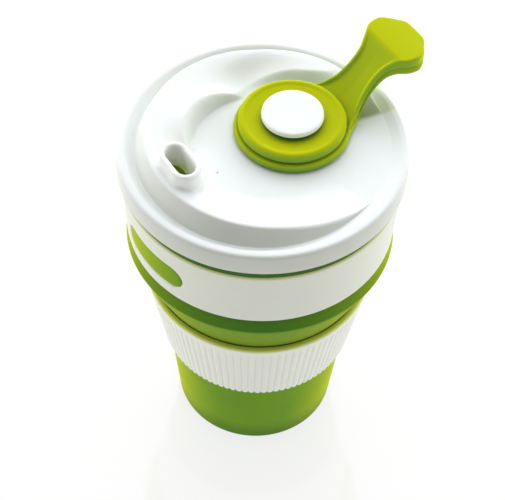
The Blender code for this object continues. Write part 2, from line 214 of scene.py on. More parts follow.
def filleted(corners, arc_steps=6, longest=2.0, closed=False):
    """Outline through (u, v, fillet radius) corners: arcs at the corners, long straights cut up."""
    count = len(corners)
    pieces = []
    for index, (u, v, fillet) in enumerate(corners):
        here = Vector((u, v))
        if fillet <= 0.0 or (not closed and index in (0, count - 1)):
            pieces.append([here])
            continue
        before = Vector(corners[index - 1][:2]) - here
        after = Vector(corners[(index + 1) % count][:2]) - here
        one, two = before.normalized(), after.normalized()
        half = math.acos(max(-1.0, min(1.0, one.dot(two)))) / 2.0
        if half > math.pi / 2.0 - 0.02:
            pieces.append([here] * (arc_steps + 1))
            continue
        reach = min(fillet / math.tan(half), 0.48 * before.length, 0.48 * after.length)
        centre = here + (one + two).normalized() * (reach / math.cos(half))
        first, last = here + one * reach - centre, here + two * reach - centre
        turn = math.atan2(first.x * last.y - first.y * last.x, first.dot(last))
        arc = []
        for step in range(arc_steps + 1):
            angle = turn * step / arc_steps
            arc.append(centre + Vector((first.x * math.cos(angle) - first.y * math.sin(angle),
                                        first.x * math.sin(angle) + first.y * math.cos(angle))))
        pieces.append(arc)
    outline = []
    for index, arc in enumerate(pieces):
        outline.extend(arc)
        if index + 1 < count or closed:
            target = pieces[(index + 1) % count][0]
            steps = max(1, math.ceil((target - arc[-1]).length / longest)) if longest else 1
            outline.extend(arc[-1].lerp(target, step / steps) for step in range(1, steps))
    return [(point.x, point.y) for point in outline]


def obround_reach(half_length, half_width, angle):
    """Distance from a slot's centre to its outline in a direction; the slot is long along u."""
    straight = half_length - half_width
    across, along = abs(math.sin(angle)), abs(math.cos(angle))
    if across > 1e-9 and along * half_width / across <= straight:
        return half_width / across
    return straight * along + math.sqrt(max(0.0, half_width ** 2 - (straight * across) ** 2))


# ---- mesh building

class Surface:
    """Points and faces of one mesh, in millimetres."""

    def __init__(self):
        self.points = []
        self.faces = []

    def ring(self, points):
        """Adds points and returns their numbers."""
        start = len(self.points)
        self.points.extend(tuple(point) for point in points)
        return list(range(start, len(self.points)))

    def bridge(self, first, second, closed=True):
        """Quads between two rings of equal length."""
        count = len(first)
        for index in range(count if closed else count - 1):
            after = (index + 1) % count
            self.faces.append((first[index], first[after], second[after], second[index]))

    def cap(self, ring, centre):
        """A fan of triangles from a ring to one point."""
        middle = self.ring([centre])[0]
        for index in range(len(ring)):
            self.faces.append((ring[index], ring[(index + 1) % len(ring)], middle))

    def skin(self, rings, closed=False):
        """Bridges each ring to the next; closed also bridges the last to the first."""
        for lower, upper in zip(rings, rings[1:]):
            self.bridge(lower, upper)
        if closed:
            self.bridge(rings[-1], rings[0])

    def finish(self, name, looks, sharp=None):
        """Turns the collected mesh into an object with outward faces."""
        mesh_data = bmesh.new()
        used = sorted({index for face in self.faces for index in face})
        made = {index: mesh_data.verts.new([value * MM for value in self.points[index]]) for index in used}
        for face in self.faces:
            mesh_data.faces.new([made[index] for index in face])
        bmesh.ops.recalc_face_normals(mesh_data, faces=mesh_data.faces)
        mesh = bpy.data.meshes.new(name)
        mesh_data.to_mesh(mesh)
        mesh_data.free()
        mesh.shade_smooth()
        if sharp:
            mesh.set_sharp_from_angle(angle=math.radians(sharp))
        made_object = bpy.data.objects.new(name, mesh)
        made_object.data.materials.append(looks)
        bpy.context.collection.objects.link(made_object)
        return made_object


def turned(name, outline, looks, facets=AROUND, centre=(0.0, 0.0), on_axis=False, closed=True):
    """Solid of revolution from an outline of (radius, height) points.

    With on_axis, the outline's two ends lie on the axis and are closed by fans.
    """
    surface = Surface()
    body = outline[1:-1] if on_axis else outline
    rings = []
    for radius, height in body:
        rings.append(surface.ring(
            (centre[0] + place(radius, 360.0 * facet / facets)[0],
             centre[1] + place(radius, 360.0 * facet / facets)[1], height) for facet in range(facets)))
    surface.skin(rings, closed=closed and not on_axis)
    if on_axis:
        surface.cap(rings[0], (centre[0], centre[1], outline[0][1]))
        surface.cap(rings[-1], (centre[0], centre[1], outline[-1][1]))
    return surface.finish(name, looks)


def perimeter_of(grid, row_low, row_high, column_low, column_high):
    """Point numbers round a rectangle of a grid of rings."""
    count = len(grid[0])
    cells = [(row_low, column) for column in range(column_low, column_high)]
    cells += [(row, column_high) for row in range(row_low, row_high)]
    cells += [(row_high, column) for column in range(column_high, column_low, -1)]
    cells += [(row, column_low) for row in range(row_high, row_low, -1)]
    return [grid[row][column % count] for row, column in cells]


def skin_with_holes(surface, grid, holes, closed=False):
    """Bridges a grid of rings, leaving out rectangles (row low, row high, column low, column high)."""
    count = len(grid[0])
    rows = len(grid) if closed else len(grid) - 1
    for row in range(rows):
        upper = grid[(row + 1) % len(grid)]
        lower = grid[row]
        for column in range(count):
            if any(low <= row < high and (column - left) % count < right - left
                   for low, high, left, right in holes):
                continue
            after = (column + 1) % count
            surface.faces.append((lower[column], lower[after], upper[after], upper[column]))


def hole_rings(surface, perimeter, flat, profile_point, profile_count, lift, spread):
    """Fills the stretch between a perimeter and a hole; returns the ring at the hole's edge.

    flat gives each perimeter point in flat coordinates from the hole's centre.  profile_point gives
    the flat place and the point in space of ring number k in a direction.  lift puts a flat place
    on the plain surface, and spread lists the rings from the profile out to the perimeter.
    """
    angles = [math.atan2(v, u) for u, v in flat]
    rings = []
    last = None
    for number in range(profile_count):
        placed = [profile_point(number, angle) for angle in angles]
        rings.append(surface.ring(point for _, point in placed))
        last = [place_flat for place_flat, _ in placed]
    for share in spread:
        rings.append(surface.ring(
            lift(edge[0] + (out[0] - edge[0]) * share, edge[1] + (out[1] - edge[1]) * share)
            for edge, out in zip(last, flat)))
    rings.append(perimeter)
    surface.skin(rings)
    return rings[0]


# ---- materials

VIEW_AZIMUTH = 56.0
# Towards the front, the camera's side: the materials paint shade on faces turned this way, and the world's
# light is dim from here.
FRONT = (math.sin(math.radians(VIEW_AZIMUTH)), -math.cos(math.radians(VIEW_AZIMUTH)), 0.0)


def new_material(name):
    """Material with its Principled shader, node tree and a reader of object coordinates."""
    made = bpy.data.materials.new(name)
    made.use_nodes = True
    tree = made.node_tree
    shader = tree.nodes["Principled BSDF"]
    place_node = tree.nodes.new("ShaderNodeTexCoord")
    return made, tree, shader, place_node.outputs["Object"]


def set_values(node, values):
    """Sets a node's inputs, by name."""
    for name, value in values.items():
        node.inputs[name].default_value = value


def noise(tree, vector, scale, detail=4.0, roughness=0.55):
    """Noise texture in object space."""
    node = tree.nodes.new("ShaderNodeTexNoise")
    set_values(node, {"Scale": scale, "Detail": detail, "Roughness": roughness})
    tree.links.new(vector, node.inputs["Vector"])
    return node.outputs["Fac"]


def ramp(tree, value, low, high, first, last):
    """Maps a value from low..high to first..last."""
    node = tree.nodes.new("ShaderNodeMapRange")
    set_values(node, {"From Min": low, "From Max": high, "To Min": first, "To Max": last})
    tree.links.new(value, node.inputs["Value"])
    return node.outputs["Result"]


def mixed(tree, share, first, last):
    """Mix of two colours; each is a colour or a socket."""
    node = tree.nodes.new("ShaderNodeMix")
    node.data_type = "RGBA"
    tree.links.new(share, node.inputs["Factor"])
    for socket, colour in (("A", first), ("B", last)):
        target = [item for item in node.inputs if item.name == socket and item.type == "RGBA"][0]
        if isinstance(colour, tuple):
            target.default_value = (*colour, 1.0)
        else:
            tree.links.new(colour, target)
    return [item for item in node.outputs if item.type == "RGBA"][0]


def calculated(tree, kind, operation, *values):
    """Outputs of a Math or VectorMath node; each value is a socket, a number or a vector."""
    node = tree.nodes.new("ShaderNode" + kind)
    node.operation = operation
    for socket, value in zip(node.inputs, values):
        if isinstance(value, (float, tuple)):
            socket.default_value = value
        else:
            tree.links.new(value, socket)
    return node.outputs


def times(tree, first, second):
    """Product of two values."""
    return calculated(tree, "Math", "MULTIPLY", first, second)["Value"]


def added(tree, first, second):
    """Sum of two values."""
    return calculated(tree, "Math", "ADD", first, second)["Value"]


def raised_to(tree, value, power):
    """A value's size raised to a power."""
    size = calculated(tree, "Math", "ABSOLUTE", value)["Value"]
    return calculated(tree, "Math", "POWER", size, power)["Value"]


def dotted(tree, first, second):
    """Dot product of two vectors."""
    return calculated(tree, "VectorMath", "DOT_PRODUCT", first, second)["Value"]


def upright_part(tree, vector):
    """Z part of a vector."""
    node = tree.nodes.new("ShaderNodeSeparateXYZ")
    tree.links.new(vector, node.inputs["Vector"])
    return node.outputs["Z"]


def distance_from_axis(tree, vector, centre_y):
    """Distance from a vertical axis at x = 0, in metres."""
    level = calculated(tree, "VectorMath", "MULTIPLY", vector, (1.0, 1.0, 0.0))["Vector"]
    return calculated(tree, "VectorMath", "DISTANCE", level, (0.0, centre_y * MM, 0.0))["Value"]


def bumped(tree, shader, height, strength, distance):
    """Bump on the shader from a height socket; the distance is in metres."""
    node = tree.nodes.new("ShaderNodeBump")
    set_values(node, {"Strength": strength, "Distance": distance})
    tree.links.new(height, node.inputs["Height"])
    tree.links.new(node.outputs["Normal"], shader.inputs["Normal"])


def silicone_material(name, top, lit, side, under, painted_shade_green, closed_in, open_out, sheen, shades, inner_glow):
    """Satin lime silicone, with light and shade painted into its colour: yellow-lime on faces that look
    up and on lit walls, a painted greener shade in front, and painted dark-green shade in gaps.

    lit is for walls, side for walls that face the front or the back, and under for those in front
    that also face down: painted lit and shaded copies of one green.  closed_in and open_out are the
    openness at which a gap takes the full painted shade green and at which it is open air.  Each
    shade is (low, high, fading, share, centre y, widest radius): a height range painted in shade
    green.  inner_glow is the strength of painted light on the wall's inner face, an emission that
    stands in for the light that comes through the wall.
    """
    made, tree, shader, vector = new_material(name)
    normal = tree.nodes.new("ShaderNodeNewGeometry").outputs["Normal"]
    slope = upright_part(tree, normal)
    height = upright_part(tree, vector)
    frontness = dotted(tree, normal, FRONT)

    # Painted shade: where the AO node finds a gap closed in, the colour turns to the painted shade green.
    openness = tree.nodes.new("ShaderNodeAmbientOcclusion")
    openness.samples = 8
    openness.inputs["Distance"].default_value = 0.016
    open_share = ramp(tree, openness.outputs["AO"], closed_in, open_out, 0.0, 1.0)

    # Painted light and shade by facing: faces that look up take the yellow-lime top colour, walls to the
    # sides the lit colour, walls towards or away from the front the darker side green, and front faces that
    # look down the darker under green.
    upward = ramp(tree, slope, 0.45, 0.98, 0.0, 1.0)
    in_front = ramp(tree, frontness, 0.1, 0.92, 0.0, 1.0)
    behind = ramp(tree, frontness, -0.15, -0.8, 0.0, 1.0)
    downward = times(tree, in_front, ramp(tree, slope, -0.2, -0.32, 0.0, 1.0))
    wall = mixed(tree, behind, mixed(tree, in_front, lit, side), side)
    open_air = mixed(tree, downward, mixed(tree, upward, wall, top), under)
    mottle = ramp(tree, noise(tree, vector, 60.0), 0.3, 0.7, 0.0, 0.06)
    open_air = mixed(tree, mottle, open_air, MOTTLE)
    colour = mixed(tree, open_share, painted_shade_green, open_air)

    # Painted shade: each height band is painted shade green, more strongly on faces towards the front.
    for low, high, fading, share, centre, widest in shades:
        above = ramp(tree, height, (low - fading) * MM, low * MM, 0.0, share)
        below = ramp(tree, height, high * MM, (high + fading) * MM, 1.0, 0.0)
        inside = ramp(tree, distance_from_axis(tree, vector, centre), widest * MM, (widest + 0.5) * MM,
                      1.0, 0.0)
        shaded = times(tree, times(tree, above, below), inside)
        shaded = times(tree, shaded, ramp(tree, in_front, 0.0, 1.0, 0.25, 1.0))
        colour = mixed(tree, shaded, colour, painted_shade_green)
    tree.links.new(colour, shader.inputs["Base Color"])

    # Painted light: an emission on the inner face stands in for light coming through the wall.
    if inner_glow:
        inward = ramp(tree, dotted(tree, vector, normal), -0.005, -0.02, 0.0, inner_glow)
        shader.inputs["Emission Color"].default_value = (*THROUGH_LIGHT, 1.0)
        tree.links.new(inward, shader.inputs["Emission Strength"])
    tree.links.new(ramp(tree, noise(tree, vector, 300.0), 0.3, 0.7, 0.50, 0.60), shader.inputs["Roughness"])
    set_values(shader, {
        "Subsurface Weight": 0.15, "Subsurface Radius": (1.0, 1.0, 0.1), "Subsurface Scale": 0.0015,
        "Specular IOR Level": 0.03, "Sheen Weight": sheen, "Sheen Roughness": 0.4,
        "Sheen Tint": (1.0, 0.92, 0.01, 1.0)})
    bumped(tree, shader, noise(tree, vector, 1800.0, 2.0), 0.10, 0.0002)
    return made


def plastic_material(name, top, side, front, back, front_from, roughness, grain_scale, grain,
                     painted_bounce=(), painted_shadow_glow=None, slopes=None):
    """White moulded plastic: clouding and a fine grain, with light and shade painted into its colour.
    Faces that look up take top and walls take side, warmer on its walls than on top: painted lit and
    shaded copies of one white.

    back is painted shade for faces turned away from the front, where the light comes from.  front is
    painted shade for walls that face the front, from the radius front_from outwards, and slopes is a
    painted lighter white for those inside it.  Each painted bounce is (height, fading distance,
    colour): painted light and shade that the silicone next to it throws on it.  The strap's painted
    shadow is painted shade and green reflected light on one side of a vertical plane: (the plane's
    normal, centre y, how far, radius, colour).
    """
    made, tree, shader, vector = new_material(name)
    normal = tree.nodes.new("ShaderNodeNewGeometry").outputs["Normal"]
    frontness = dotted(tree, normal, FRONT)
    # Painted light: faces that look up take the top colour and walls the side colour.
    colour = mixed(tree, ramp(tree, upright_part(tree, normal), 0.3, 0.95, 0.0, 1.0), side, top)
    outside = ramp(tree, distance_from_axis(tree, vector, 0.0), (front_from - 2.0) * MM,
                   (front_from + 1.0) * MM, 0.0, 1.0)
    # Painted shade: walls towards the front, outside front_from, and faces turned away from the front are
    # painted darker.
    in_front = ramp(tree, frontness, 0.15, 0.85, 0.0, 1.0)
    colour = mixed(tree, times(tree, outside, in_front), colour, front)
    colour = mixed(tree, ramp(tree, frontness, -0.5, -0.85, 0.0, 1.0), colour, back)
    # Painted light: deck slopes inside front_from that tilt towards the front are painted lighter.
    if slopes:
        on_deck = ramp(tree, outside, 0.0, 1.0, 1.0, 0.0)
        tilted = ramp(tree, frontness, 0.02, 0.3, 0.0, 1.0)
        colour = mixed(tree, times(tree, on_deck, tilted), colour, slopes)
    # Painted shadow of the strap and its green reflected light, on one side of a vertical plane.
    if painted_shadow_glow:
        plane, centre, depth, widest, tint = painted_shadow_glow
        across = dotted(tree, vector, plane)
        share = times(tree, ramp(tree, across, -0.8 * MM, 0.8 * MM, 0.0, 0.95),
                      ramp(tree, across, 1.5 * MM, depth * MM, 1.0, 0.0))
        near = ramp(tree, distance_from_axis(tree, vector, centre), 0.5 * widest * MM, widest * MM,
                    1.0, 0.0)
        colour = mixed(tree, times(tree, share, near), colour, tint)
    cloud = ramp(tree, noise(tree, vector, 45.0), 0.3, 0.7, 0.0, 0.3)
    colour = mixed(tree, cloud, colour, side)
    # Painted green light and shade from the silicone, fading down from each given height.
    for level, fading, bounce_tint in painted_bounce:
        near = ramp(tree, upright_part(tree, vector), (level - fading) * MM, level * MM, 0.0, 1.0)
        colour = mixed(tree, near, colour, bounce_tint)
    tree.links.new(colour, shader.inputs["Base Color"])
    tree.links.new(ramp(tree, noise(tree, vector, 220.0), 0.3, 0.7, roughness - 0.04, roughness + 0.05),
                   shader.inputs["Roughness"])
    set_values(shader, {
        "Specular IOR Level": 0.35, "Subsurface Weight": 0.08, "Subsurface Radius": (1.0, 0.9, 0.8),
        "Subsurface Scale": 0.0015})
    bumped(tree, shader, noise(tree, vector, grain_scale, 2.0), grain, 0.0001)
    return made


MOTTLE = (0.62, 0.66, 0.01)
# Painted light: colour of the emission on the cup's inner face.
THROUGH_LIGHT = (0.50, 0.56, 0.004)
# Painted light: yellow-lime for faces that look up, as if lit from above.
LIME_TOP = (0.47, 0.53, 0.003)
ANY_RADIUS = 60.0
# Painted shade bands, each (low, high, fading, share, centre y, widest radius): under the lid, under the
# band and in the hub's groove.
UNDER_LID_SHADE = (RIM_BOTTOM - 0.4, RIM_TOP, 0.3, 0.8, 0.0, ANY_RADIUS)
UNDER_BAND_SHADE = (CREST + 0.5, BAND_BOTTOM + 0.5, 0.7, 0.5, 0.0, ANY_RADIUS)
HUB_GROOVE_SHADE = (FLANGE_TOP, FLANGE_TOP + 0.35, 0.3, 0.95, PIVOT_Y, FLANGE_RADIUS - 0.9)
# The top, lit, side and under colours and the shade green are painted lit and shaded copies of one green.
CUP_LIME = silicone_material(
    "lime_silicone_cup", top=LIME_TOP, lit=(0.46, 0.57, 0.002), side=(0.105, 0.300, 0.022),
    under=(0.035, 0.200, 0.022), painted_shade_green=(0.008, 0.105, 0.026), closed_in=0.3, open_out=0.86, sheen=0.45,
    shades=[UNDER_LID_SHADE, UNDER_BAND_SHADE], inner_glow=0.35)
STOPPER_LIME = silicone_material(
    "lime_silicone_stopper", top=LIME_TOP, lit=(0.36, 0.49, 0.010), side=(0.28, 0.48, 0.045),
    under=(0.28, 0.48, 0.045), painted_shade_green=(0.016, 0.17, 0.032), closed_in=0.3, open_out=0.74, sheen=0.9,
    shades=[HUB_GROOVE_SHADE], inner_glow=0.0)

# The strap's painted shadow and green reflected light on the lid, beside the step.
STEP_ANGLE = math.radians(STEP_AZIMUTH - STEP_WIDTH)
STRAP_PAINTED_SHADOW = ((math.cos(STEP_ANGLE), math.sin(STEP_ANGLE), 0.0), 36.0, 10.0, 15.0, (0.38, 0.45, 0.20))
# The top, side, front, back and slopes colours are painted lit and shaded copies of one white.
LID_WHITE = plastic_material(
    "white_lid_satin", top=(0.86, 0.90, 0.93), side=(0.83, 0.85, 0.79), front=(0.65, 0.67, 0.60),
    back=(0.60, 0.62, 0.59), front_from=37.0, roughness=0.34, grain_scale=2400.0, grain=0.04,
    painted_shadow_glow=STRAP_PAINTED_SHADOW, slopes=(0.97, 0.985, 0.96))
# The band's and sleeve's top edges get painted green light and shade from the silicone next to them.
BAND_WHITE = plastic_material(
    "white_band_satin", top=(0.86, 0.88, 0.78), side=(0.86, 0.88, 0.775), front=(0.79, 0.81, 0.70),
    back=(0.58, 0.60, 0.55), front_from=0.0, roughness=0.42, grain_scale=2000.0, grain=0.06,
    painted_bounce=[(BAND_TOP, 1.5, (0.66, 0.68, 0.28))])
SLEEVE_WHITE = plastic_material(
    "white_sleeve_matte", top=(0.93, 0.94, 0.86), side=(0.97, 0.98, 0.91), front=(0.87, 0.89, 0.79),
    back=(0.58, 0.60, 0.55), front_from=0.0, roughness=0.5, grain_scale=1600.0, grain=0.10,
    painted_bounce=[(SLEEVE_TOP, 1.4, (0.74, 0.77, 0.10))])


# ---- silicone cup

def wall_radius(height):
    """Outside of the silicone wall from the base's top to the crevice over the sleeve."""
    share = (height - BASE_TOP) / (MIDDLE_TOP - BASE_TOP)
    return BASE_TOP_RADIUS + (CREVICE_RADIUS - BASE_TOP_RADIUS) * share


def make_lower_silicone():
    """Bottom cup and the wall that turns inside out when the cup collapses: one moulding."""
    inner_foot = FOOT_RADIUS - WALL
    seam = LOWER_FOLD_TOP - 0.1
    outline = filleted([
        (0.0, 0.7, 0.0), (22.0, 0.7, 0.5), (22.8, 0.0, 0.5), (FOOT_RADIUS, 0.0, 0.9),
        (BASE_TOP_RADIUS, BASE_TOP, 0.0), (wall_radius(seam), seam, 0.0),
        (wall_radius(seam) - FOLD_WALL, seam, 0.0), (BASE_TOP_RADIUS - FOLD_WALL, BASE_TOP + 1.0, 1.0),
        (BASE_TOP_RADIUS - WALL, BASE_TOP - 1.0, 1.0), (inner_foot, FLOOR, 3.2), (0.0, FLOOR, 0.0)])
    made = turned("silicone_lower", outline, CUP_LIME, on_axis=True)
    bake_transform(made)
    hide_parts("base_cup", "lower_fold_wall")


def make_upper_silicone():
    """Wall inside the sleeve, upper fold, crest, neck and rim: one moulding."""
    seam = LOWER_FOLD_TOP + 0.1
    crevice = MIDDLE_TOP + 0.1
    outline = filleted([
        (wall_radius(seam), seam, 0.0), (CREVICE_RADIUS, crevice, 0.35), (CREST_RADIUS - 0.1, CREST, 0.9),
        (NECK_RADIUS - 0.1, BAND_BOTTOM - 0.5, 0.8), (NECK_RADIUS, BAND_BOTTOM, 0.2),
        (MOUTH_RADIUS, RIM_BOTTOM, 0.4), (RIM_RADIUS, RIM_BOTTOM, 0.4), (RIM_RADIUS, RIM_TOP, 0.6),
        (MOUTH_RADIUS - RIM_WALL, RIM_TOP, 0.5), (NECK_RADIUS - RIM_WALL, BAND_BOTTOM, 0.5),
        (CREST_RADIUS - RIM_WALL - 0.1, CREST, 0.7), (CREVICE_RADIUS - FOLD_WALL, crevice, 0.5),
        (wall_radius(seam) - WALL, seam, 0.0)], closed=True)
    made = turned("silicone_upper", outline, CUP_LIME)
    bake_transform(made)
    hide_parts("middle_wall", "upper_fold_wall", "rim_wall")


# ---- sleeve

def make_sleeve():
    """Ribbed grip sleeve: convex ribs with narrow grooves, a plain rounded lip, a scalloped foot."""
    inner_low, inner_high = wall_radius(SLEEVE_BOTTOM) + GAP, CREVICE_RADIUS + GAP
    outline = filleted([
        (inner_low, SLEEVE_BOTTOM + 0.2, 0.0), (SLEEVE_BOTTOM_RADIUS, SLEEVE_BOTTOM, 0.45),
        (SLEEVE_TOP_RADIUS, SLEEVE_TOP, 0.9), (inner_high, SLEEVE_TOP, 0.4),
        (inner_high, SLEEVE_TOP - 1.0, 0.0)], arc_steps=6, longest=0.9)
    ribs_end = SLEEVE_TOP - PLAIN_LIP + 1.2
    facets = RIBS * RIB_POINTS
    surface = Surface()
    rings = []
    for number, (radius, height) in enumerate(outline):
        depth = RIB_DEPTH * smooth_step((ribs_end - height) / 2.4) if number else 0.0
        rise = SCALLOP * smooth_step((SLEEVE_BOTTOM + 1.2 - height) / 1.2) if number else 0.0
        ring = []
        for facet in range(facets):
            phase = (facet % RIB_POINTS) / RIB_POINTS * 2.0 - 1.0
            valley = abs(phase) ** 3.0
            ring.append((*place(radius - depth * valley, 360.0 * facet / facets), height + rise * valley))
        rings.append(surface.ring(ring))
    surface.skin(rings, closed=True)
    made = surface.finish("ribbed_sleeve", SLEEVE_WHITE, sharp=60.0)
    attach(made, "grip")
    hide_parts("grip_sleeve")


# ---- band

def band_outer(height):
    """Radius of the band's outside at a height."""
    share = (height - BAND_BOTTOM) / (BAND_TOP - BAND_BOTTOM)
    return NECK_RADIUS + GAP + BAND_WALL + (MOUTH_RADIUS - NECK_RADIUS) * share


def on_band(u, v, depth):
    """Point on the band, u along its arc and v up from the window's centre, and a depth inside it."""
    radius = band_outer(WINDOW_CENTRE + v) - depth
    azimuth = WINDOW_AZIMUTH + math.degrees(u / band_outer(WINDOW_CENTRE))
    return (*place(radius, azimuth), WINDOW_CENTRE + v)


def from_window(point):
    """Place of a point along the band's arc and up, from the window's centre."""
    azimuth = math.degrees(math.atan2(point[0], -point[1])) - WINDOW_AZIMUTH
    return math.radians(azimuth) * band_outer(WINDOW_CENTRE), point[2] - WINDOW_CENTRE


def window_angle(point):
    """Direction of a point from the window's centre, on the unrolled band."""
    along, up = from_window(point)
    return math.atan2(up, along)


def around_window(offset, angle):
    """Flat place on the window's outline, grown by an offset, in a direction."""
    reach = obround_reach(WINDOW_HALF_LENGTH + offset, WINDOW_HALF_HEIGHT + offset, angle)
    return reach * math.cos(angle), reach * math.sin(angle)


def make_band():
    """Stiff band with rounded edges and a window whose edge is rounded."""
    inner_low, inner_high = NECK_RADIUS + GAP, MOUTH_RADIUS + GAP
    outline = filleted([
        (inner_low, BAND_BOTTOM, 0.3), (inner_low + BAND_WALL, BAND_BOTTOM, 0.8),
        (inner_high + BAND_WALL, BAND_TOP, 1.3), (inner_high, BAND_TOP, 0.3)], closed=True, longest=1.5)
    surface = Surface()
    grid = [surface.ring((*place(radius, WINDOW_AZIMUTH + 360.0 * facet / AROUND), height)
                         for facet in range(AROUND)) for radius, height in outline]
    middle = (inner_low + inner_high) / 2.0 + BAND_WALL / 2.0
    margin = WINDOW_HALF_HEIGHT + 3.0
    columns = 24
    rounded_edge = [(0.0, 0.55), (0.04, 0.32), (0.16, 0.14), (0.34, 0.03), (0.6, 0.0)]
    rects = []
    edges = []
    for outside in (True, False):
        rows = [row for row, (radius, height) in enumerate(outline)
                if (radius > middle) == outside and abs(height - WINDOW_CENTRE) < margin]
        rects.append((min(rows), max(rows), -columns, columns))
        perimeter = perimeter_of(grid, *rects[-1])
        flat = [from_window(surface.points[number]) for number in perimeter]
        depth = 0.0 if outside else BAND_WALL
        edge = rounded_edge if outside else [(0.0, 0.0)]

        def lift(u, v, depth=depth):
            return on_band(u, v, depth)

        def profile_point(number, angle, edge=edge, depth=depth):
            offset, drop = edge[number]
            u, v = around_window(offset, angle)
            return (u, v), on_band(u, v, depth + drop)

        edges.append(hole_rings(surface, perimeter, flat, profile_point, len(edge), lift, (0.12, 0.3, 0.6)))
    skin_with_holes(surface, grid, rects, closed=True)
    outer_edge, inner_edge = (
        sorted(edge, key=lambda number: window_angle(surface.points[number])) for edge in edges)
    surface.bridge(outer_edge, inner_edge)
    made = surface.finish("mouth_band", BAND_WHITE, sharp=50.0)
    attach(made, "collar")
    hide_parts("upper_band")


# ---- lid

def deck_edge_height(azimuth):
    """Height of the deck's outer edge: a ramp up from nothing, a long raised part, and a step."""
    azimuth = (azimuth + 180.0) % 360.0 - 180.0
    if azimuth > STEP_AZIMUTH - STEP_WIDTH:
        return DISH + (RAISED_BACK - DISH) * smooth_step((azimuth - STEP_AZIMUTH) / STEP_WIDTH + 1.0)
    if azimuth >= RAMP_START:
        return DISH
    if azimuth > RAMP_START - RAMP_LENGTH:
        rise = math.sin(math.pi / 2.0 * (RAMP_START - azimuth) / RAMP_LENGTH)
        return DISH + (RAISED - DISH) * rise
    return between(azimuth, [(-180.0, RAISED_BACK), (-80.0, RAISED)])


def ledge_height(azimuth):
    """Height of the valley between the deck and the bead; it rises to nothing in the low sector."""
    azimuth = (azimuth + 180.0) % 360.0 - 180.0
    fall = smooth_step((RAMP_START - azimuth) / 56.0)
    back = smooth_step((azimuth - STEP_AZIMUTH) / STEP_WIDTH + 1.0)
    return DISH - (DISH - LEDGE) * max(fall, back)


def back_share(azimuth):
    """0 round the front and left, 1 at the back, where the deck is level and its edge is steep."""
    azimuth = (azimuth + 180.0) % 360.0 - 180.0
    return 1.0 if azimuth > STEP_AZIMUTH - STEP_WIDTH else smooth_step((-azimuth - 98.0) / 62.0)


def edge_radius(azimuth):
    """Radius of the deck's outer edge: the face below it keeps its slope and runs out to nothing."""
    drop = deck_edge_height(azimuth) - ledge_height(azimuth)
    run = (0.6 - 0.45 * back_share(azimuth)) * drop
    return LEDGE_RADIUS - max(0.05, min(LEDGE_RADIUS - DECK_RADIUS, run))


# Left of the spout the dish ends in a crisp step: (azimuth, how crisp) and (azimuth, its foot's radius).
CRISP = [(-118.0, 0.0), (-108.0, 0.1), (-99.0, 0.3), (-90.0, 0.55), (-80.0, 0.78), (-70.0, 0.95),
         (-57.0, 1.0), (-45.0, 1.0), (-35.0, 0.8), (-24.0, 0.32), (-16.0, 0.0)]
CRISP_FOOT = [(-120.0, 20.3), (-101.0, 20.5), (-91.0, 20.7), (-81.0, 20.9), (-72.0, 21.1), (-64.0, 21.5),
              (-50.0, 22.1), (-43.0, 22.5), (-34.0, 22.9), (-24.0, 22.7), (-14.0, 22.4)]


def deck_height(x, y):
    """Height of the deck: a low dish and a low seat round the pivot, which climb to the deck's edge.

    Left of the spout the climb is a crisp curved step, at the back it is a short slope round the
    seat, longer where the strap bends down, and elsewhere it is a long gentle slope.
    """
    azimuth = math.degrees(math.atan2(x, -y))
    radius = math.hypot(x, y)
    reach = math.hypot(x, y - PIVOT_Y)
    crisp = curve_through(azimuth, CRISP)
    foot = curve_through(azimuth, CRISP_FOOT)
    steep = math.sin(math.pi / 2.0 * min(1.0, max(0.0, (radius - foot) / (0.3 + 3.6 * crisp))))
    gentle = smooth_step((radius - DISH_RADIUS) / (DECK_RADIUS - DISH_RADIUS))
    bearing = math.atan2(x, PIVOT_Y - y)
    edge_reach = PIVOT_Y * math.cos(bearing) + math.sqrt(
        DECK_RADIUS ** 2 - (PIVOT_Y * math.sin(bearing)) ** 2)
    off_seat = smooth_step((reach - SEAT_RADIUS + 1.2) / 3.4)
    off_seat_slowly = smooth_step((reach - SEAT_RADIUS) / min(12.0, edge_reach - SEAT_RADIUS))
    climb = gentle * (1.0 - crisp) * off_seat_slowly + steep * crisp * off_seat
    beside_strap = smooth_step((azimuth + 180.0) / 10.0) * smooth_step((-148.0 - azimuth) / 16.0)
    round_seat = smooth_step((reach - SEAT_RADIUS + 0.3) / (3.2 + 2.6 * beside_strap))
    back = back_share(azimuth)
    return DISH + (deck_edge_height(azimuth) - DISH) * (climb * (1.0 - back) + round_seat * back)


